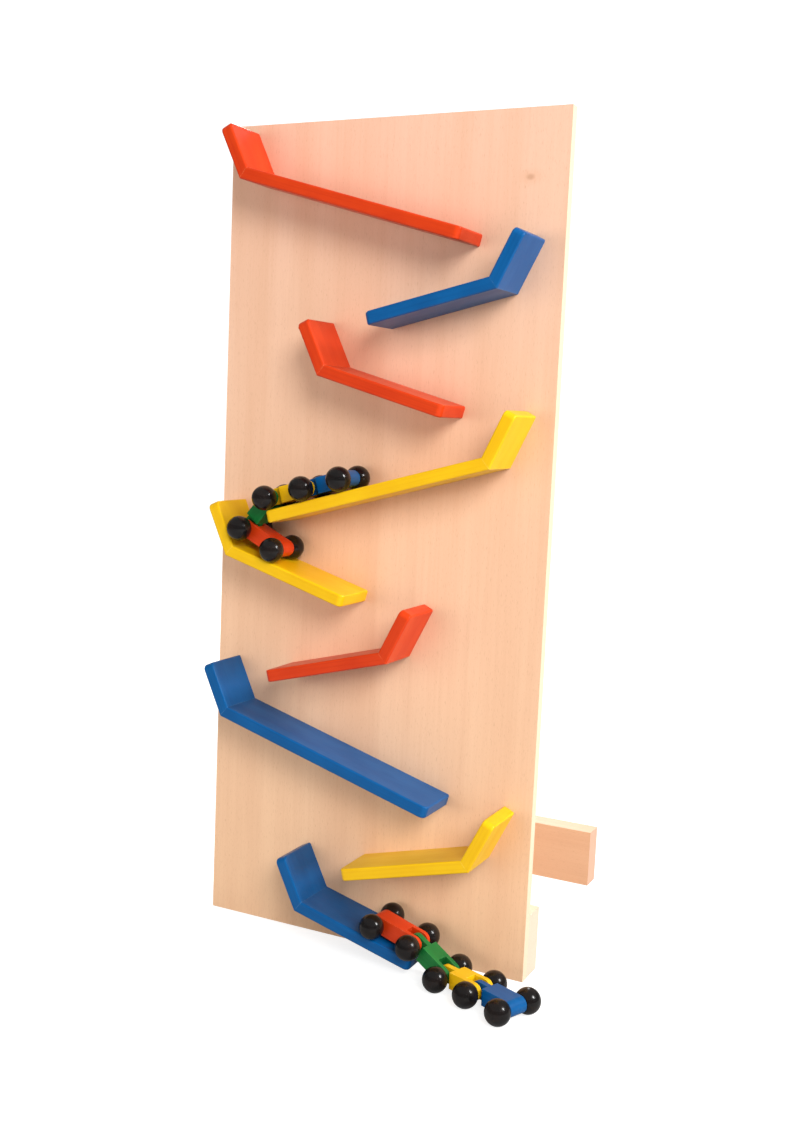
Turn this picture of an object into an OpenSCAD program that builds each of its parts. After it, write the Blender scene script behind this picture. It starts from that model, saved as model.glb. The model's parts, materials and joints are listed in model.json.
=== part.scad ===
// Wooden cascade tower: a standing panel with nine zig-zag ramps, and two jointed
// four-wagon roller trains that tumble from ramp to ramp.
// Millimetres, +Z up. X runs across the panel and Y runs from front to back.
// The origin is on the floor, at the middle of the panel's bottom edge.

/* [Panel] */
// Width of the panel
panel_w = 438; // [400:1:480]
// Height of the panel
panel_h = 1000; // [980:1:1100]
// Thickness of the panel
panel_t = 13; // [10:1:18]

/* [Ramps] */
// How far a ramp stands out from the panel
ramp_depth = 64; // [64:1:80]
// Thickness of the track and heel boards
ramp_t = 15; // [12:0.5:15]
// Inner length of an upturned heel board
heel_l = 59; // [50:1:62]
// Angle between a track and its heel
bend = 131; // [125:1:135]
// Radius of the outer corner at the free end of a ramp's board
corner_r = 7; // [2:0.5:10]

/* [Base] */
// Height of the base boards
base_h = 78; // [60:1:90]
// Thickness of the base boards
base_t = 32; // [28:1:40]
// Length of the rear bar
rear_bar_l = 376; // [300:1:430]
// Distance from the panel's middle plane to the rear bar's front face
rear_bar_y = 338; // [300:1:380]
// Width of the spine between the foot board and the rear bar
spine_w = 40; // [36:1:60]

/* [Screws] */
// Diameter of a screw's shank
screw_d = 4; // [3.5:0.5:4.5]
// Diameter of a countersunk screw head
head_d = 8; // [8:0.5:9]
// Length of the screws that hold the ramps
ramp_screw_l = 40; // [35:1:50]
// Length of the screws that hold the panel to the foot board
foot_screw_l = 40; // [36:1:44]
// Length of the screws that hold the base together
base_screw_l = 70; // [60:1:80]

/* [Wagons] */
// Distance between the axles of a wagon
pitch = 52; // [52:0.5:54]
// Width of a wagon
wagon_w = 25; // [24:0.5:25]
// Height of a wagon
wagon_h = 20; // [18:0.5:20]
// Thickness of the tongue that a wagon couples with
tongue_t = 7; // [6:0.5:7]
// Width of the slot that takes the next wagon's tongue
slot_w = 14; // [14:0.5:15]
// Distance from a coupling axle to the shoulders of either wagon
shoulder = 15; // [15:0.5:16]
// Diameter of the axle hole in a tongue, oversize so that the train can curve
tongue_bore_d = 8; // [8:0.2:9]

/* [Wheels] */
// Diameter of a ball wheel
ball_d = 30; // [30:0.5:31]
// Distance between the middles of the two balls on an axle
track = 48; // [48:0.5:49]
// Diameter of an axle
axle_d = 6; // [5:0.5:6]
// Gap between a ball's flat inner face and the wagon
wheel_gap = 0.5; // [0.3:0.1:1]

/* [Upper train] */
// Where the lowest axle stands, down the track of the fifth ramp
upper_low_s = 53; // [52:0.5:56]
// Where the third axle stands, down the track of the fourth ramp
upper_tip_s = 284; // [283:0.5:285]

/* [Lower train] */
// Where the rearmost axle stands, down the track of the last ramp
lower_s = 98; // [95:0.5:99]
// Turn of each wagon away from the panel, red wagon first
lower_turn = [5, 13, 21, 23];

/* [Hidden] */
$fn = 64;

RED = [0.86, 0.20, 0.11];
GREEN = [0.10, 0.42, 0.22];
YELLOW = [0.96, 0.74, 0.10];
BLUE = [0.10, 0.35, 0.62];
BEECH = [0.95, 0.80, 0.66];
BLACK = [0.05, 0.05, 0.05];
STEEL = [0.75, 0.74, 0.70];

// Each ramp from the top down: colour, side that its track runs to, x and z of the
// inner corner between heel and track, slope in degrees, length of the track
RAMPS = [
    [RED,     1, -157, 938, 15.0, 287],
    [BLUE,   -1,  156, 810, 14.5, 156],
    [RED,     1,  -43, 711, 15.0, 158],
    [YELLOW, -1,  158, 615, 16.0, 288],
    [YELLOW,  1, -162, 490, 16.5, 162],
    [RED,    -1,   42, 383, 15.0, 159],
    [BLUE,    1, -163, 289, 16.0, 288],
    [YELLOW, -1,  158, 156, 15.0, 162],
    [BLUE,    1,  -48,  62, 14.5, 155],
];
long_track = 250;      // a track longer than this has three screws instead of two
track_screw_ends = 22; // from either end of a track to its first screw
heel_screw_at = 0.6;   // a heel's screw, as a fraction of the heel's length

recess_l = 4.4;        // cross recess in a screw head
recess_w = 0.9;
recess_deep = 1.4;
fit = 0.05;            // radial clearance of screws and axles in their holes

WAGON_NAMES = ["red", "green", "yellow", "blue"];
WAGON_COLOURS = [RED, GREEN, YELLOW, BLUE];
TRAINS = ["upper", "lower"];
axle_l = 60;           // reaches 6 mm past the middle of either ball
ride_gap = 0.3;        // from a ball to the ramp under it
ball_r = ball_d / 2;
ball_flat = wagon_w / 2 + wheel_gap;
slot_deep = shoulder;

function ramp_colour(r) = RAMPS[r][0];
function side(r) = RAMPS[r][1];
function heel_corner(r) = [RAMPS[r][2], RAMPS[r][3]];
function slope(r) = RAMPS[r][4];
function track_l(r) = RAMPS[r][5];

// Directions in the panel's plane, as [x, z]: down a track, square to the track,
// up its heel, and square to the heel
function down(r) = [side(r) * cos(slope(r)), -sin(slope(r))];
function above(r) = [side(r) * sin(slope(r)), cos(slope(r))];
function upright(r) = [side(r) * cos(bend - slope(r)), sin(bend - slope(r))];
function inward(r) = [side(r) * sin(bend - slope(r)), -cos(bend - slope(r))];

// Corner under the heel where the two boards' mitre ends
function under_corner(r) = heel_corner(r) - ramp_t * (above(r) + inward(r)) / (1 - cos(bend));

// Point on ramp r: s along its track from the heel corner, n above it
function on_track(r, s, n) = heel_corner(r) + s * down(r) + n * above(r);

// Point inside the heel board of ramp r, at a fraction of its length
function in_heel(r, part) = heel_corner(r) + part * heel_l * upright(r) - ramp_t / 2 * inward(r);

// Screw places of one ramp, as [x, z]
function track_screws(r) = [
    for (i = [0 : screw_count(r) - 1])
        on_track(r, track_screw_ends + i * screw_step(r), -ramp_t / 2)
];
function screw_count(r) = track_l(r) > long_track ? 3 : 2;
function screw_step(r) = (track_l(r) - 2 * track_screw_ends) / (screw_count(r) - 1);
function ramp_screws_at(r) = concat(track_screws(r), [in_heel(r, heel_screw_at)]);

// Screws from the foot board into the panel, as [x, z]
foot_screws_at = [for (x = [-180, -80, 80, 180]) [x, base_h / 2]];
// Screws through the foot board and the rear bar into the spine, as [x, z]
spine_screws_at = [for (z = [22, base_h - 22]) [0, z]];

// Stands its children up: a drawing in x and y becomes one in x and z, with its
// thickness running forwards from the plane at y
module stand_up(y) {
    translate([0, y, 0])
        rotate([90, 0, 0])
            children();
}

// A board cut to an [x, z] outline, its back against the panel's front face
module ramp_board(outline) {
    stand_up(-panel_t / 2)
        linear_extrude(ramp_depth)
            polygon(outline);
}

// What rounding takes off the outer corner of a board whose free end's middle is at
// [x, z] and points along dir
module corner_waste(at, dir) {
    translate([at[0], -panel_t / 2 - ramp_depth, at[1]])
        rotate([0, -atan2(dir[1], dir[0]), 0])
            difference() {
                translate([-corner_r, -1, -ramp_t])
                    cube([corner_r + 1, corner_r + 1, 2 * ramp_t]);
                translate([-corner_r, corner_r, -ramp_t - 1])
                    cylinder(r = corner_r, h = 2 * ramp_t + 2);
            }
}

// A countersunk screw at the origin, with its head's face up and its shank down
module screw(l) {
    difference() {
        union() {
            translate([0, 0, -l])
                cylinder(d = screw_d, h = l - 1);
            countersink(0);
        }
        for (turn = [0, 90])
            rotate([0, 0, turn])
                translate([-recess_l / 2, -recess_w / 2, -recess_deep])
                    cube([recess_l, recess_w, recess_deep + 1]);
    }
}

// The cone under a screw's head, grown by clear
module countersink(clear) {
    sink = (head_d - screw_d) / 2;
    translate([0, 0, -sink - clear])
        cylinder(d1 = screw_d, d2 = head_d + 2 * clear, h = sink + clear);
}

// The hole that a screw of length l sits in
module screw_hole(l) {
    translate([0, 0, -l])
        cylinder(r = screw_d / 2 + fit, h = l + 1);
    countersink(fit);
}

// Puts its children at [x, z] on the plane at y, with their +Z turned to the back
module from_back(at, y) {
    translate([at[0], y, at[1]])
        rotate([-90, 0, 0])
            children();
}

// The same with their +Z turned to the front
module from_front(at, y) {
    translate([at[0], y, at[1]])
        rotate([90, 0, 0])
            children();
}

module panel() {
    color(BEECH)
        difference() {
            translate([-panel_w / 2, -panel_t / 2, 0])
                cube([panel_w, panel_t, panel_h]);
            for (r = [0 : len(RAMPS) - 1], at = ramp_screws_at(r))
                from_back(at, panel_t / 2)
                    screw_hole(ramp_screw_l);
            for (at = foot_screws_at)
                from_back(at, panel_t / 2 + base_t)
                    screw_hole(foot_screw_l);
        }
}

module track_board(r) {
    along = track_l(r) * down(r);
    color(ramp_colour(r))
        difference() {
            ramp_board([
                heel_corner(r),
                heel_corner(r) + along,
                heel_corner(r) + along - ramp_t * above(r),
                under_corner(r),
            ]);
            corner_waste(on_track(r, track_l(r), -ramp_t / 2), down(r));
            for (at = track_screws(r))
                from_back(at, panel_t / 2)
                    screw_hole(ramp_screw_l);
        }
}

module heel_board(r) {
    top = heel_corner(r) + heel_l * upright(r);
    color(ramp_colour(r))
        difference() {
            ramp_board([
                heel_corner(r),
                top,
                top - ramp_t * inward(r),
                under_corner(r),
            ]);
            corner_waste(in_heel(r, 1), upright(r));
            from_back(in_heel(r, heel_screw_at), panel_t / 2)
                screw_hole(ramp_screw_l);
        }
}

module foot_board() {
    color(BEECH)
        difference() {
            translate([-panel_w / 2, panel_t / 2, 0])
                cube([panel_w, base_t, base_h]);
            for (at = foot_screws_at)
                from_back(at, panel_t / 2 + base_t)
                    screw_hole(foot_screw_l);
            for (at = spine_screws_at)
                from_front(at, panel_t / 2)
                    screw_hole(base_screw_l);
        }
}

module spine() {
    front = panel_t / 2 + base_t;
    color(BEECH)
        difference() {
            translate([-spine_w / 2, front, 0])
                cube([spine_w, rear_bar_y - front, base_h]);
            for (at = spine_screws_at) {
                from_front(at, panel_t / 2)
                    screw_hole(base_screw_l);
                from_back(at, rear_bar_y + base_t)
                    screw_hole(base_screw_l);
            }
        }
}

module rear_bar() {
    color(BEECH)
        difference() {
            translate([-rear_bar_l / 2, rear_bar_y, 0])
                cube([rear_bar_l, base_t, base_h]);
            for (at = spine_screws_at)
                from_back(at, rear_bar_y + base_t)
                    screw_hole(base_screw_l);
        }
}

module ramp_screws() {
    color(STEEL)
        for (r = [0 : len(RAMPS) - 1], at = ramp_screws_at(r))
            from_back(at, panel_t / 2)
                screw(ramp_screw_l);
}

module foot_screws() {
    color(STEEL)
        for (at = foot_screws_at)
            from_back(at, panel_t / 2 + base_t)
                screw(foot_screw_l);
}

module base_screws() {
    color(STEEL)
        for (at = spine_screws_at) {
            from_front(at, panel_t / 2)
                screw(base_screw_l);
            from_back(at, rear_bar_y + base_t)
                screw(base_screw_l);
        }
}

// A wagon lies along +X from its first axle, at the origin, to its second, at pitch.
// Each wagon but the red one takes hold of the wagon before it with a tongue round the
// first axle. Each but the blue one holds the next wagon's tongue in a slot.
module wagon(i) {
    has_tongue = i > 0;
    has_slot = i < len(WAGON_NAMES) - 1;
    color(WAGON_COLOURS[i])
        difference() {
            union() {
                wagon_block(has_tongue ? shoulder : 0, pitch, wagon_w);
                if (has_tongue)
                    wagon_block(0, shoulder + 1, tongue_t);
                wagon_round(pitch, wagon_w);
                wagon_round(0, has_tongue ? tongue_t : wagon_w);
            }
            if (has_slot)
                translate([pitch - slot_deep, -slot_w / 2, -wagon_h])
                    cube([slot_deep + wagon_h, slot_w, 2 * wagon_h]);
            cross_hole(0, has_tongue ? tongue_bore_d / 2 : axle_d / 2 + fit);
            cross_hole(pitch, axle_d / 2 + fit);
        }
}

// Straight stretch of a wagon, w wide, between two places along it
module wagon_block(from, to, w) {
    translate([from, -w / 2, -wagon_h / 2])
        cube([to - from, w, wagon_h]);
}

// Round end of a wagon, w wide
module wagon_round(x, w) {
    translate([x, w / 2, 0])
        rotate([90, 0, 0])
            cylinder(d = wagon_h, h = w);
}

// Hole across a wagon for an axle
module cross_hole(x, r) {
    translate([x, wagon_w, 0])
        rotate([90, 0, 0])
            cylinder(r = r, h = 2 * wagon_w);
}

module axle() {
    color(STEEL)
        translate([0, axle_l / 2, 0])
            rotate([90, 0, 0])
                cylinder(d = axle_d, h = axle_l);
}

// Two balls, each with a flat inner face and a blind hole for the axle's end
module ball_wheels() {
    color(BLACK)
        for (end = [-1, 1])
            difference() {
                translate([0, end * track / 2, 0])
                    sphere(d = ball_d);
                translate([-ball_d, -ball_flat, -ball_d])
                    cube([2 * ball_d, 2 * ball_flat, 2 * ball_d]);
                axle();
            }
}

// Where the wagons stand. A place is [point, tilt of the surface under the wagon,
// rise along it, turn about it]; the wagon lies from the point along its direction.
function heading(p) =
    let (x = cos(p[2]) * cos(p[3]), z = sin(p[2]))
    [x * cos(p[1]) - z * sin(p[1]), -cos(p[2]) * sin(p[3]), x * sin(p[1]) + z * cos(p[1])];
function far_axle(p) = p[0] + pitch * heading(p);
function rise_to(a, b) = atan2(b[1] - a[1], b[0] - a[0]);
function in_train(xz, y) = [xz[0], y, xz[1]];

// The middle of a train that runs as near the panel as its balls allow
train_y = -panel_t / 2 - ride_gap - ball_r - track / 2;
ride = ball_r + ride_gap;

// Upper train: blue and yellow still on the fourth ramp, red already on the fifth, and
// green between them, so that its two axles are a pitch from the third and the first
tip_ramp = 3;
low_ramp = 4;
upper_1 = on_track(low_ramp, upper_low_s, ride);
upper_3 = on_track(tip_ramp, upper_tip_s, ride);
half_gap = norm(upper_3 - upper_1) / 2;
across = (upper_3 - upper_1) / (2 * half_gap);
upper_2 = (upper_1 + upper_3) / 2 + sqrt(pitch * pitch - half_gap * half_gap) * [-across[1], across[0]];
upper_4 = upper_3 - pitch * down(tip_ramp);
UPPER = [
    [in_train(upper_1, train_y), 0, rise_to(upper_1, upper_2), 0],
    [in_train(upper_2, train_y), 0, rise_to(upper_2, upper_3), 0],
    [in_train(upper_3, train_y), 0, rise_to(upper_3, upper_4), 0],
    [in_train(upper_4, train_y), 0, rise_to(upper_3, upper_4), 0],
];

// Lower train: red on the last ramp, green reaching down to the floor, and yellow and
// blue on the floor
last_ramp = len(RAMPS) - 1;
lower_red = [in_train(on_track(last_ramp, lower_s, ride), train_y), -slope(last_ramp), 0, lower_turn[0]];
green_at = far_axle(lower_red);
lower_green = [green_at, 0, -asin((green_at[2] - ball_r) / pitch), lower_turn[1]];
lower_yellow = [far_axle(lower_green), 0, 0, lower_turn[2]];
lower_blue = [far_axle(lower_yellow), 0, 0, lower_turn[3]];
LOWER = [lower_red, lower_green, lower_yellow, lower_blue];

// Puts its children at a place, or at its far axle when far is true
module placed(p, far = false) {
    translate(far ? far_axle(p) : p[0])
        rotate([0, -p[1], 0])
            rotate([0, -p[2], -p[3]])
                children();
}

function wagons(t) = t == 0 ? UPPER : LOWER;

module train_wagon(t, i) {
    placed(wagons(t)[i])
        wagon(i);
}

// Axle a of a train: 0 is the red wagon's first, and the others are in each wagon's
// far end
module on_axle(t, a) {
    placed(wagons(t)[max(a - 1, 0)], a > 0)
        children();
}

RAMP_NAMES = [for (r = [1 : len(RAMPS)]) for (board = ["track", "heel"]) str("ramp_", r, "_", board)];
TRAIN_NAMES = [
    for (t = TRAINS) each concat(
        [for (w = WAGON_NAMES) str(t, "_", w, "_wagon")],
        [for (a = [1 : 5]) str(t, "_axle_", a)],
        [for (a = [1 : 5]) str(t, "_balls_", a)]
    )
];

panel();
foot_board();
spine();
rear_bar();
ramp_screws();
foot_screws();
base_screws();
for (r = [0 : len(RAMPS) - 1]) {
    track_board(r);
    heel_board(r);
}
for (t = [0 : 1]) {
    for (i = [0 : 3])
        train_wagon(t, i);
    for (a = [0 : 4]) {
        on_axle(t, a) axle();
        on_axle(t, a) ball_wheels();
    }
}
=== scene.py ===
"""Looks of the wooden cascade tower: rounded boards, stained and lacquered wood, glossy ball wheels."""
import json
import math

import bmesh
import bpy
import numpy as np
from mathutils import Matrix, Vector

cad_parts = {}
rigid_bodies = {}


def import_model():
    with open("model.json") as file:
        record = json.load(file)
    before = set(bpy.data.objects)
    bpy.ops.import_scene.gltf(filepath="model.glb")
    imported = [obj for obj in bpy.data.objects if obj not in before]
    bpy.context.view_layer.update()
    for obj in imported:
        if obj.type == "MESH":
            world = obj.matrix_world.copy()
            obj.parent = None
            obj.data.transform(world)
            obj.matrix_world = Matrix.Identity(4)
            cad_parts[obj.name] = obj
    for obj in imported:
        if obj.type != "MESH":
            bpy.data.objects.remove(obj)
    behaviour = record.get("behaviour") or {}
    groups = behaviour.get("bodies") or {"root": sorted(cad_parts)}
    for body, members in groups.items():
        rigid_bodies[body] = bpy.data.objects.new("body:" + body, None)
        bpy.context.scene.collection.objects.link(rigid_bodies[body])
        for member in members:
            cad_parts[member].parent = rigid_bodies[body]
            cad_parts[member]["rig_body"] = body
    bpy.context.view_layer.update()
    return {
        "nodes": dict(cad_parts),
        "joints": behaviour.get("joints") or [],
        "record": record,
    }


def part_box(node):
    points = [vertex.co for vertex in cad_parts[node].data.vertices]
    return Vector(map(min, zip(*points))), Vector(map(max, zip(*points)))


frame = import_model()
NODES = frame["nodes"]
SLOT_OF = {s["node"]: s["material_slot"] for s in frame["record"]["subparts"]}
# the joint of each body that rolls, by the body's name
ROLLS = {j["child"]: j for j in frame["joints"] if j.get("continuous")}

PANEL_LOW, PANEL_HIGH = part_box("panel")

MM = 0.001

# ---------------------------------------------------------------- camera

CAMERA_PLACE = Vector((0.6922, PANEL_LOW.y - 1.3575, 0.660))
CAMERA_PAN = 25.84
CAMERA_TILT = -6.95
CAMERA_ROLL = 2.55
CAMERA_LENS = 40.28
CAMERA_SENSOR = 36.0


def make_camera():
    """The photograph's viewpoint: in front of the tower, to its right, at two thirds of its height."""
    data = bpy.data.cameras.new("camera")
    data.lens = CAMERA_LENS
    data.sensor_width = CAMERA_SENSOR
    data.sensor_fit = "AUTO"
    data.clip_start = 0.05
    data.clip_end = 100.0
    camera = bpy.data.objects.new("camera", data)
    turn = (
        Matrix.Rotation(math.radians(CAMERA_PAN), 4, "Z")
        @ Matrix.Rotation(math.radians(90 + CAMERA_TILT), 4, "X")
        @ Matrix.Rotation(math.radians(CAMERA_ROLL), 4, "Z")
    )
    camera.matrix_world = Matrix.Translation(CAMERA_PLACE) @ turn
    bpy.context.scene.collection.objects.link(camera)
    bpy.context.scene.camera = camera


# ---------------------------------------------------------------- grain coordinates

X, Y, Z = (1, 0, 0), (0, 1, 0), (0, 0, 1)
BOARD_DIRECTIONS = {"panel": (Z, X), "foot_board": (X, Z), "rear_bar": (X, Z), "spine": (Y, Z)}

# Every piece but the panel, whose knot has its own place, is cut from another stretch of timber.
# It lies this far along and through the grain, times a number that runs through a cycle.
TIMBER_SHIFT = np.array([0.37, 0.0, 0.011])
TIMBER_CYCLE = 17


def vertices_of(piece):
    """The piece's vertices, one row each."""
    co = np.empty(len(piece.data.vertices) * 3)
    piece.data.vertices.foreach_get("co", co)
    return co.reshape(-1, 3)


def principal_direction(points):
    """Direction in which a cloud of points is longest."""
    spread = points - points.mean(0)
    return np.linalg.svd(spread, full_matrices=False)[2][0]


def board_directions(name, piece):
    """(grain direction, direction across the face) of a board, wagon, wheel or screw."""
    body = piece["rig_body"]
    if name in BOARD_DIRECTIONS:
        return BOARD_DIRECTIONS[name]
    if name.startswith("ramp_") and not name.endswith("screws"):
        outline = vertices_of(piece) * (1, 0, 1)
        return principal_direction(outline), Y
    if name.endswith("_wagon"):
        across = next(j["axis"] for j in ROLLS.values() if j["parent"] == body)
        return principal_direction(vertices_of(piece)), across
    if body in ROLLS:
        return ROLLS[body]["axis"], Z
    return Y, Z


def put_grain(name, piece, number):
    """Stores every vertex's place along, across and through its piece, in metres, for the materials."""
    along, across = (Vector(d) for d in board_directions(name, piece))
    along.normalize()
    through = along.cross(across).normalized()
    across = through.cross(along)
    points = vertices_of(piece)
    middle = (points.min(0) + points.max(0)) / 2
    if piece["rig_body"] in ROLLS:
        middle = np.array(ROLLS[piece["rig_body"]]["pos_m"])
    local = (points - middle) @ np.array([along, across, through]).T
    if name != "panel":
        local += TIMBER_SHIFT * (1 + number % TIMBER_CYCLE)
    attribute = piece.data.attributes.new("grain", "FLOAT_VECTOR", "POINT")
    attribute.data.foreach_set("vector", local.astype(np.float32).ravel())


# ---------------------------------------------------------------- shader building

# Noise patterns: cycles a metre along, across and through the grain, then detail and roughness.
PATTERNS = {
    "ring_waves": ((3.0, 14.0, 14.0), 3.0, 0.5),
    "ray_flecks": ((170.0, 1500.0, 1500.0), 1.0, 0.5),
    "wide_bands": ((0.9, 11.0, 11.0), 3.0, 0.5),
    "narrow_bands": ((1.6, 36.0, 36.0), 4.0, 0.5),
    "fine_lines": ((6.0, 250.0, 250.0), 5.0, 0.62),
    "knot_ripple": ((90.0, 90.0, 1.0), 2.0, 0.5),
    "ply_fray": ((40.0, 40.0, 900.0), 2.0, 0.5),
    "end_pores": ((60.0, 900.0, 900.0), 2.0, 0.5),
    "stained_lines": ((14.0, 480.0, 480.0), 3.0, 0.5),
    "stain_clouds": ((16.0, 34.0, 34.0), 4.0, 0.5),
    "scuffs": ((130.0, 260.0, 260.0), 5.0, 0.65),
    "lacquer_clouds": ((60.0, 60.0, 60.0), 3.0, 0.5),
    "dust": ((420.0, 420.0, 420.0), 4.0, 0.7),
    "lathe_lines": ((1300.0, 12.0, 12.0), 1.0, 0.5),
    "turning_marks": ((900.0, 120.0, 120.0), 3.0, 0.5),
    "tarnish": ((240.0, 240.0, 240.0), 3.0, 0.5),
}


# how far the rounded normal leans where an edge begins to show, and where it shows fully
EDGE_FROM, EDGE_TO = 0.004, 0.12
EDGE_SAMPLES = 6


class Shader:
    """A material's node tree, with short calls for the nodes it is built from."""

    def __init__(self, name):
        self.material = bpy.data.materials.new(name)
        self.material.use_nodes = True
        self.tree = self.material.node_tree
        self.tree.nodes.clear()
        output = self.node("ShaderNodeOutputMaterial")
        self.surface = self.node("ShaderNodeBsdfPrincipled")
        self.link(self.surface.outputs[0], output.inputs["Surface"])

    def node(self, kind, **settings):
        made = self.tree.nodes.new(kind)
        for key, value in settings.items():
            setattr(made, key, value)
        return made

    def link(self, source, target):
        self.tree.links.new(source, target)

    def feed(self, target, value):
        """Links a socket, or sets a plain value."""
        if isinstance(value, bpy.types.NodeSocket):
            self.link(value, target)
        else:
            target.default_value = value

    def finish(self, values):
        """Feeds the surface's sockets, named as Blender names them."""
        for socket, value in values.items():
            self.feed(self.surface.inputs[socket], value)
        return self.material

    def grain(self):
        return self.node("ShaderNodeAttribute", attribute_name="grain").outputs["Vector"]

    def normal(self):
        return self.node("ShaderNodeNewGeometry").outputs["Normal"]

    def pattern(self, grain, name):
        """One of the noise patterns, from 0 to 1 round a middle of 0.5."""
        cycles, detail, roughness = PATTERNS[name]
        stretched = self.node("ShaderNodeMapping")
        self.link(grain, stretched.inputs["Vector"])
        stretched.inputs["Scale"].default_value = cycles
        noise = self.node("ShaderNodeTexNoise")
        self.link(stretched.outputs[0], noise.inputs["Vector"])
        noise.inputs["Scale"].default_value = 1.0
        noise.inputs["Detail"].default_value = detail
        noise.inputs["Roughness"].default_value = roughness
        return noise.outputs["Fac"]

    def math(self, operation, a, b=0.0):
        made = self.node("ShaderNodeMath", operation=operation)
        self.feed(made.inputs[0], a)
        self.feed(made.inputs[1], b)
        return made.outputs[0]

    def plus(self, a, b):
        return self.math("ADD", a, b)

    def minus(self, a, b):
        return self.math("SUBTRACT", a, b)

    def times(self, a, b):
        return self.math("MULTIPLY", a, b)

    def length(self, a, b):
        """Length of the vector (a, b)."""
        return self.math("SQRT", self.plus(self.times(a, a), self.times(b, b)))

    def ramp(self, value, low, high, at_low, at_high, kind="LINEAR"):
        """From at_low below low to at_high above high."""
        made = self.node("ShaderNodeMapRange", interpolation_type=kind)
        self.feed(made.inputs["Value"], value)
        made.inputs["From Min"].default_value = low
        made.inputs["From Max"].default_value = high
        made.inputs["To Min"].default_value = at_low
        made.inputs["To Max"].default_value = at_high
        return made.outputs["Result"]

    def rise(self, value, low, high, top=1.0):
        """0 below low, rising smoothly to top above high."""
        return self.ramp(value, low, high, 0.0, top, "SMOOTHSTEP")

    def fall(self, value, low, high, top=1.0):
        """Top below low, falling smoothly to 0 above high."""
        return self.ramp(value, low, high, top, 0.0, "SMOOTHSTEP")

    def mix(self, share, a, b):
        made = self.node("ShaderNodeMix", data_type="RGBA")
        self.feed(made.inputs["Factor"], share)
        self.feed(made.inputs["A"], a)
        self.feed(made.inputs["B"], b)
        return made.outputs["Result"]

    def split(self, vector):
        made = self.node("ShaderNodeSeparateXYZ")
        self.link(vector, made.inputs[0])
        return made.outputs

    def bump(self, height, distance, strength, under=None):
        made = self.node("ShaderNodeBump")
        made.inputs["Strength"].default_value = strength
        made.inputs["Distance"].default_value = distance
        self.link(height, made.inputs["Height"])
        if under is not None:
            self.link(under, made.inputs["Normal"])
        return made.outputs[0]

    def edge(self, radius):
        """1 along outer edges, 0 on faces: how far the rounded normal leans from the true one."""
        rounded = self.node("ShaderNodeBevel", samples=EDGE_SAMPLES)
        rounded.inputs["Radius"].default_value = radius
        agreement = self.node("ShaderNodeVectorMath", operation="DOT_PRODUCT")
        self.link(rounded.outputs[0], agreement.inputs[0])
        self.link(self.normal(), agreement.inputs[1])
        return self.rise(self.minus(1.0, agreement.outputs["Value"]), EDGE_FROM, EDGE_TO)


def linear(red, green, blue):
    """An sRGB colour, 0 to 255, as the linear colour that shaders take."""
    def channel(value):
        value /= 255
        return value / 12.92 if value <= 0.04045 else ((value + 0.055) / 1.055) ** 2.4
    return (channel(red), channel(green), channel(blue), 1.0)


def between(a, b, share):
    """A colour between two, share of the way to b."""
    return tuple(x + (y - x) * share for x, y in zip(a, b))


# ---------------------------------------------------------------- raw beech

FLECK_BROWN = linear(150, 92, 58)

PANEL_PINK = linear(233, 189, 163)
# the panel's colour at the bottom: partly its own sandy tone, partly painted light that brightens the bottom
PANEL_SAND_AND_PAINTED_LIGHT = linear(239, 196, 157)
PANEL_DARK = linear(216, 163, 126)
KNOT_RIM = linear(214, 160, 124)
KNOT_HEART = linear(172, 120, 88)
# the knot's place in the panel's own grain coordinates: up from the middle, and to the right
KNOT_UP, KNOT_ASIDE = 0.425, 0.174

PLY_PALE = linear(244, 226, 200)
PLY_DEEP = linear(222, 181, 140)
PLY_COUNT = 9
PANEL_THICKNESS = PANEL_HIGH.y - PANEL_LOW.y

BASE_LIGHT = linear(235, 188, 150)
BASE_DARK = linear(216, 160, 122)
END_PORES = linear(216, 166, 128)
# the same sawn beech end grain for each board of the base, painted lighter on the foot board and darker on
# the rear bar: painted light and shade
SAWN_FOOT_PAINTED_LIGHT = linear(236, 205, 182)
SAWN_BAR_PAINTED_SHADE = linear(226, 178, 150)
SAWN_SPINE = linear(236, 196, 162)


def growth_rings(s, grain, spacing, depth, wander):
    """Growth rings of timber sawn at a depth from its pith: 0 in early wood, 1 at the late-wood line."""
    _, across, through = s.split(grain)
    radius = s.length(across, s.plus(through, depth))
    radius = s.plus(radius, s.times(s.pattern(grain, "ring_waves"), wander))
    ring = s.math("FRACT", s.math("DIVIDE", radius, spacing))
    return s.times(s.rise(ring, 0.55, 0.95), s.fall(ring, 0.95, 1.0))


def raw_wood(s, grain, light, dark, rings, streaks):
    """Colour of clear-lacquered beech, with rings, straight streaks and the short dark rays of beech."""
    flecks = s.rise(s.pattern(grain, "ray_flecks"), 0.63, 0.72)
    lines = s.pattern(grain, "fine_lines")
    colour = s.mix(s.rise(s.pattern(grain, "wide_bands"), 0.42, 0.62, streaks), light, dark)
    colour = s.mix(s.rise(s.pattern(grain, "narrow_bands"), 0.38, 0.68, streaks * 0.8), colour, dark)
    colour = s.mix(rings, colour, dark)
    colour = s.mix(s.rise(lines, 0.35, 0.75, streaks * 0.7), colour, dark)
    colour = s.mix(s.times(flecks, 0.3), colour, between(dark, FLECK_BROWN, 0.5))
    relief = s.bump(lines, 0.05 * MM, 0.6)
    relief = s.bump(flecks, -0.04 * MM, 0.5, relief)
    s.finish({
        "Roughness": s.ramp(lines, 0.3, 0.7, 0.42, 0.55),
        "Specular IOR Level": 0.35,
        "Coat Weight": 0.08,
        "Coat Roughness": 0.3,
        "Normal": relief,
    })
    return colour


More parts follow.
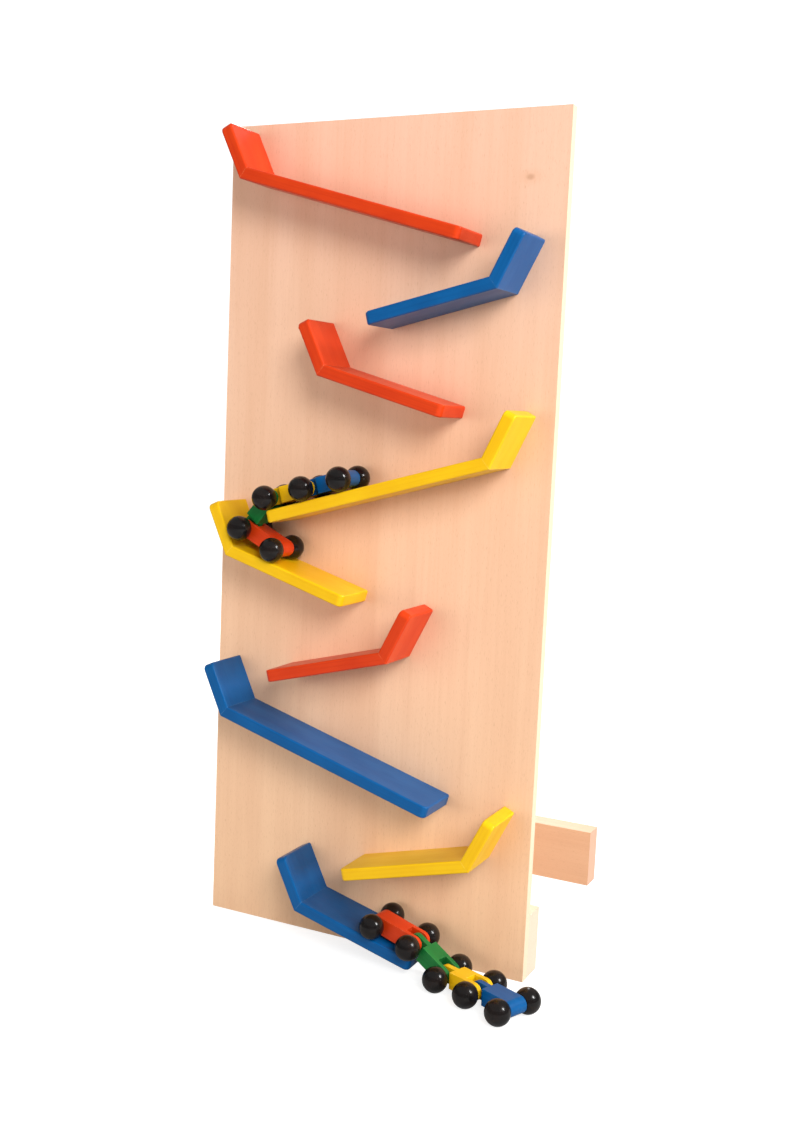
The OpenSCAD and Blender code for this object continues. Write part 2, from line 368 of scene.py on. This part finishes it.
def knot_distance(s, grain, along, across):
    """Distance from the knot's middle, wider across the grain than along it and ragged at its rim."""
    up = s.times(s.minus(along, KNOT_UP), 1.1)
    aside = s.times(s.minus(across, KNOT_ASIDE), 0.75)
    ripple = s.minus(s.pattern(grain, "knot_ripple"), 0.5)
    return s.plus(s.length(up, aside), s.times(ripple, 3 * MM))


def ply_colour(s, grain, through):
    """Thin layers through the panel's thickness, alternately pale long grain and darker end grain."""
    ply = s.times(s.plus(through, PANEL_THICKNESS / 2), PLY_COUNT / PANEL_THICKNESS)
    turn = s.math("PINGPONG", ply, 1.0)
    colour = s.mix(s.rise(turn, 0.25, 0.75), PLY_PALE, between(PLY_PALE, PLY_DEEP, 0.6))
    return s.mix(s.times(s.pattern(grain, "ply_fray"), 0.4), colour, PLY_DEEP)


def panel_material():
    """Beech-faced plywood: upright grain, one small knot in front, and plies along the cut edges."""
    s = Shader("beech_panel")
    grain = s.grain()
    along, across, through = s.split(grain)
    # rosier towards the top, sandier and brighter towards the bottom; the extra brightness at the bottom is
    # painted light, standing in for the weaker light that reaches it
    light = s.mix(s.ramp(along, -0.45, 0.5, 0.0, 1.0), PANEL_SAND_AND_PAINTED_LIGHT, PANEL_PINK)
    rings = s.times(growth_rings(s, grain, 24 * MM, 310 * MM, 60 * MM), 0.035)
    colour = raw_wood(s, grain, light, PANEL_DARK, rings, 0.24)
    knot = knot_distance(s, grain, along, across)
    in_front = s.math("LESS_THAN", through, 0.0)
    colour = s.mix(s.times(s.fall(knot, 2 * MM, 14 * MM, 0.3), in_front), colour, KNOT_RIM)
    colour = s.mix(s.times(s.fall(knot, 1 * MM, 5 * MM, 0.42), in_front), colour, KNOT_HEART)
    facing = s.math("ABSOLUTE", s.split(s.normal())["Y"])
    on_cut_edge = s.fall(facing, 0.35, 0.75)
    return s.finish({"Base Color": s.mix(on_cut_edge, colour, ply_colour(s, grain, through))})


def base_material(name, grain_axis, sawn_end):
    """Solid planed beech of the foot board, spine or rear bar. Their sawn ends get a colour per board that
    is painted light and shade: lighter on the foot board, darker on the rear bar.
    """
    s = Shader(name)
    grain = s.grain()
    rings = s.times(growth_rings(s, grain, 6.5 * MM, 55 * MM, 12 * MM), 0.12)
    colour = raw_wood(s, grain, BASE_LIGHT, BASE_DARK, rings, 0.22)
    at_end = s.rise(s.math("ABSOLUTE", s.split(s.normal())[grain_axis]), 0.6, 0.85)
    sawn = s.mix(s.rise(s.pattern(grain, "end_pores"), 0.45, 0.75, 0.35), sawn_end, END_PORES)
    return s.finish({"Base Color": s.mix(at_end, colour, sawn)})


# ---------------------------------------------------------------- paint, lacquer, steel

# body colour, its deeper colour in the grain, and the colour where an edge is rubbed
PAINTS = {
    "red_paint": (linear(208, 60, 14), linear(182, 40, 8), linear(238, 150, 104)),
    "blue_paint": (linear(2, 86, 146), linear(2, 64, 116), linear(112, 150, 186)),
    "yellow_paint": (linear(234, 187, 14), linear(222, 163, 8), linear(250, 226, 130)),
    "green_paint": (linear(24, 116, 52), linear(12, 84, 36), linear(120, 170, 120)),
}
WORN_EDGE = 1.6 * MM

LACQUER_BLACK = linear(18, 16, 16)
LACQUER_BROWN = linear(28, 21, 19)
DUST = linear(74, 60, 50)

STEEL_BRIGHT = linear(205, 204, 200)
STEEL_DULL = linear(168, 162, 150)


def painted_wood(name, body, deep, worn):
    """Coloured stain under satin varnish: faint grain, cloudy colour and rubbed edges."""
    s = Shader(name)
    grain = s.grain()
    rings = growth_rings(s, grain, 5.5 * MM, 40 * MM, 10 * MM)
    lines = s.pattern(grain, "stained_lines")
    clouds = s.pattern(grain, "stain_clouds")
    scuffs = s.pattern(grain, "scuffs")
    edge = s.edge(WORN_EDGE)
    rubbed = s.times(edge, s.rise(scuffs, 0.44, 0.68))
    colour = s.mix(s.rise(clouds, 0.3, 0.72), body, between(body, deep, 0.45))
    colour = s.mix(s.times(rings, 0.2), colour, deep)
    colour = s.mix(s.rise(lines, 0.42, 0.78, 0.25), colour, deep)
    colour = s.mix(s.times(edge, 0.18), colour, between(body, worn, 0.3))
    colour = s.mix(s.times(rubbed, 0.5), colour, worn)
    rough = s.ramp(clouds, 0.25, 0.75, 0.36, 0.46)
    rough = s.plus(rough, s.rise(scuffs, 0.66, 0.74, 0.12))
    rough = s.plus(rough, s.times(rubbed, 0.15))
    relief = s.bump(lines, 0.08 * MM, 0.5)
    relief = s.bump(clouds, 0.25 * MM, 0.35, relief)
    return s.finish({
        "Base Color": colour,
        "Roughness": rough,
        "Specular IOR Level": 0.26,
        "Coat Weight": 0.08,
        "Coat Roughness": 0.2,
        "Normal": relief,
    })


def black_lacquer():
    """Black lacquer on turned wooden balls, a little dulled and browned where they roll."""
    s = Shader("black_lacquer")
    grain = s.grain()
    clouds = s.pattern(grain, "lacquer_clouds")
    dust = s.pattern(grain, "dust")
    colour = s.mix(s.rise(clouds, 0.35, 0.7), LACQUER_BLACK, LACQUER_BROWN)
    colour = s.mix(s.rise(dust, 0.6, 0.8, 0.3), colour, DUST)
    rough = s.ramp(clouds, 0.3, 0.7, 0.17, 0.24)
    rough = s.plus(rough, s.rise(dust, 0.55, 0.8, 0.14))
    relief = s.bump(s.pattern(grain, "lathe_lines"), 0.02 * MM, 0.4)
    relief = s.bump(clouds, 0.2 * MM, 0.12, relief)
    return s.finish({
        "Base Color": colour,
        "Roughness": rough,
        "Specular IOR Level": 0.33,
        "Normal": relief,
    })


def steel():
    """Bright drawn steel of axles and screws, with fine turning marks."""
    s = Shader("steel")
    grain = s.grain()
    marks = s.pattern(grain, "turning_marks")
    return s.finish({
        "Metallic": 1.0,
        "Base Color": s.mix(s.rise(s.pattern(grain, "tarnish"), 0.4, 0.75), STEEL_BRIGHT, STEEL_DULL),
        "Roughness": s.ramp(marks, 0.3, 0.7, 0.22, 0.42),
        "Normal": s.bump(marks, 0.02 * MM, 0.5),
    })


# by material slot; the boards of the base have one each, by their own names, so that their sawn ends carry
# painted light and shade board by board
MATERIALS = {slot: painted_wood(slot, *colours) for slot, colours in PAINTS.items()}
MATERIALS.update({
    "beech_panel": panel_material(),
    "foot_board": base_material("beech_foot", "X", SAWN_FOOT_PAINTED_LIGHT),
    "rear_bar": base_material("beech_bar", "X", SAWN_BAR_PAINTED_SHADE),
    "spine": base_material("beech_spine", "Y", SAWN_SPINE),
    "black_lacquer": black_lacquer(),
    "steel": steel(),
})

# ---------------------------------------------------------------- CAD nodes: edges and materials

RAMP_ROUND = 2.4 * MM
WAGON_ROUND = 1.0 * MM
PANEL_ROUND = 0.7 * MM
BASE_ROUND = 1.2 * MM
ROUND_SEGMENTS = 4

# an edge is sharp, and is rounded, from this angle between its faces
SHARP = math.radians(40)
# after rounding, shading breaks at any edge left above this angle
CREASE = math.radians(27)
# faces closer to one plane than this are joined
FLAT = math.radians(0.5)
SAME_POINT = 0.005 * MM
HULL_SLACK = 0.03 * MM
AT_PANEL = 0.1 * MM

# the board that each board of a ramp is mitred to
PARTNER = {n: n.replace("track", "heel") for n in NODES if n.endswith("_track")}
PARTNER.update({heel: track for track, heel in list(PARTNER.items())})


def spot(point):
    """A point rounded to a hundredth of a millimetre, to match vertices of split faces."""
    return tuple(round(c * 100 / MM) for c in point)


def hull_faces(shape):
    """The faces that no part of the shape stands out from: all but the walls of its holes."""
    points = np.array([v.co[:] for v in shape.verts])
    outer = set()
    for face in shape.faces:
        beyond = (points - np.array(face.verts[0].co)) @ np.array(face.normal)
        if beyond.max() < HULL_SLACK:
            outer.add(face.index)
    return outer


def mark_edges(piece, partner):
    """Marks the edges of a ramp's board to be rounded: its outline, but not at the panel or the mitre."""
    shape = bmesh.new()
    shape.from_mesh(piece.data)
    bmesh.ops.remove_doubles(shape, verts=shape.verts, dist=SAME_POINT)
    shape.normal_update()
    outer = hull_faces(shape)
    joint = {spot(v.co) for v in partner.data.vertices}
    rounded = set()
    for edge in shape.edges:
        ends = frozenset(spot(v.co) for v in edge.verts)
        sharp = len(edge.link_faces) == 2 and edge.calc_face_angle() > SHARP
        outline = all(f.index in outer for f in edge.link_faces)
        at_panel = all(abs(v.co.y - PANEL_LOW.y) < AT_PANEL for v in edge.verts)
        if sharp and outline and not at_panel and not joint.issuperset(ends):
            rounded.add(ends)
    shape.free()
    places = [spot(v.co) for v in piece.data.vertices]
    marks = [float(frozenset(places[v] for v in e.vertices) in rounded) for e in piece.data.edges]
    attribute = piece.data.attributes.new("bevel_weight_edge", "FLOAT", "EDGE")
    attribute.data.foreach_set("value", marks)


def soften(piece, width, marked_only=False):
    """Joins the CAD mesh's split faces into whole ones, then rounds its marked or its sharp edges."""
    weld = piece.modifiers.new("weld", "WELD")
    weld.merge_threshold = SAME_POINT
    flatten = piece.modifiers.new("flatten", "DECIMATE")
    flatten.decimate_type = "DISSOLVE"
    flatten.angle_limit = FLAT
    bevel = piece.modifiers.new("round_edges", "BEVEL")
    bevel.width = width
    bevel.segments = ROUND_SEGMENTS
    bevel.limit_method = "WEIGHT" if marked_only else "ANGLE"
    bevel.angle_limit = SHARP
    bevel.use_clamp_overlap = not marked_only
    # cuts the shading where an edge stays sharp, and keeps it flat on wide faces up to rounded edges
    split = piece.modifiers.new("sharp_edges", "EDGE_SPLIT")
    split.split_angle = CREASE
    split.use_edge_sharp = False
    flat = piece.modifiers.new("flat_faces", "WEIGHTED_NORMAL")
    flat.mode = "FACE_AREA"
    flat.weight = 100
    for polygon in piece.data.polygons:
        polygon.use_smooth = True


def round_edges(name, piece):
    """Rounds the edges of boards and wagons; balls, axles and screws stay as CAD made them."""
    if name in PARTNER:
        mark_edges(piece, NODES[PARTNER[name]])
        soften(piece, RAMP_ROUND, marked_only=True)
    elif name.endswith("_wagon"):
        soften(piece, WAGON_ROUND)
    elif name == "panel":
        soften(piece, PANEL_ROUND)
    elif name in BOARD_DIRECTIONS:
        soften(piece, BASE_ROUND)


for number, name in enumerate(sorted(NODES)):
    piece = NODES[name]
    put_grain(name, piece, number)
    round_edges(name, piece)
    piece.data.materials.clear()
    piece.data.materials.append(MATERIALS[name] if name in MATERIALS else MATERIALS[SLOT_OF[name]])

# ---------------------------------------------------------------- studio

STUDIO_R = 9.0
STUDIO_FLAT = 1.5
STUDIO_WALL = 5.0
STUDIO_CURVE = 2.0
CURVE_STEPS = 12
STUDIO_SIDES = 96
FLOOR_GAP = 0.2 * MM

STUDIO_GREY = (0.42, 0.42, 0.415, 1.0)
WHITE = (1.0, 1.0, 1.0, 1.0)
# the studio's own light as the camera sees it, near the tower and further out than these radii
GLOW_NEAR, GLOW_FAR = 0.78, 1.0
GLOW_FROM, GLOW_TO = 0.5, 2.2


def studio_material():
    """Pale floor and wall. Seen directly they shine, so that they stay white without lighting the tower."""
    s = Shader("studio")
    far = s.node("ShaderNodeVectorMath", operation="LENGTH")
    s.link(s.node("ShaderNodeNewGeometry").outputs["Position"], far.inputs[0])
    glow = s.ramp(far.outputs["Value"], GLOW_FROM, GLOW_TO, GLOW_NEAR, GLOW_FAR, "SMOOTHSTEP")
    seen = s.node("ShaderNodeLightPath").outputs["Is Camera Ray"]
    s.finish({
        "Base Color": STUDIO_GREY,
        "Roughness": 0.9,
        "Specular IOR Level": 0.1,
        "Emission Color": WHITE,
        "Emission Strength": s.times(glow, seen),
    })
    s.material.cycles.emission_sampling = "NONE"
    return s.material


def make_studio():
    """A round pale floor that curves up into a pale wall, the same from every side."""
    profile = [(0.0, 0.0), (STUDIO_FLAT, 0.0), (STUDIO_R - STUDIO_CURVE, 0.0)]
    for step in range(1, CURVE_STEPS + 1):
        turn = math.pi / 2 * step / CURVE_STEPS
        out = STUDIO_R - STUDIO_CURVE + STUDIO_CURVE * math.sin(turn)
        profile.append((out, STUDIO_CURVE * (1 - math.cos(turn))))
    profile.append((STUDIO_R, STUDIO_WALL))
    points, faces = [], []
    for out, up in profile:
        for k in range(STUDIO_SIDES):
            turn = 2 * math.pi * k / STUDIO_SIDES
            points.append((out * math.cos(turn), out * math.sin(turn), up - FLOOR_GAP))
    for ring in range(len(profile) - 1):
        for k in range(STUDIO_SIDES):
            a = ring * STUDIO_SIDES + k
            b = ring * STUDIO_SIDES + (k + 1) % STUDIO_SIDES
            faces.append((a, b, b + STUDIO_SIDES, a + STUDIO_SIDES))
    mesh = bpy.data.meshes.new("studio")
    mesh.from_pydata(points, [], faces)
    mesh.materials.append(studio_material())
    for polygon in mesh.polygons:
        polygon.use_smooth = True
    floor = bpy.data.objects.new("studio", mesh)
    bpy.context.scene.collection.objects.link(floor)


PANEL_MIDDLE = (PANEL_LOW + PANEL_HIGH) / 2
# name: direction from the panel's middle, distance, width and height in metres, power in watts
LIGHTS = {
    "key": ((0.85, -1.0, 0.66), 3.6, (1.5, 1.5), 98),
    "fill": ((-0.5, -1.0, 0.06), 3.8, (3.4, 1.7), 58),
    "side": ((1.0, -0.03, 0.08), 3.6, (1.2, 0.9), 40),
    "strip": ((0.84, -0.04, 0.53), 3.2, (0.5, 0.9), 66),
    "back": ((-0.5, 1.0, 0.6), 3.8, (1.8, 1.8), 110),
}
# only these show in glossy surfaces
MIRRORED_LIGHTS = {"strip", "back"}
WORLD_COLOUR = (1.0, 0.99, 0.975, 1.0)
WORLD_STRENGTH = 0.38


def area_light(name, direction, distance, size, power):
    """A soft box that looks at the panel's middle from a direction, hidden from the camera."""
    data = bpy.data.lights.new(name, "AREA")
    data.shape = "RECTANGLE"
    data.size, data.size_y = size
    data.energy = power
    towards = Vector(direction).normalized()
    light = bpy.data.objects.new(name, data)
    light.location = PANEL_MIDDLE + distance * towards
    light.rotation_euler = (-towards).to_track_quat("-Z", "Y").to_euler()
    light.visible_camera = False
    light.visible_glossy = name in MIRRORED_LIGHTS
    bpy.context.scene.collection.objects.link(light)


def make_lights():
    """A wide key light from the front right, weak light from three sides, and a strip for the highlights."""
    for name, setting in LIGHTS.items():
        area_light(name, *setting)
    world = bpy.data.worlds.new("world")
    world.use_nodes = True
    background = world.node_tree.nodes["Background"]
    background.inputs["Color"].default_value = WORLD_COLOUR
    background.inputs["Strength"].default_value = WORLD_STRENGTH
    bpy.context.scene.world = world


make_camera()
make_studio()
make_lights()
bpy.context.scene.view_settings.view_transform = "Standard"
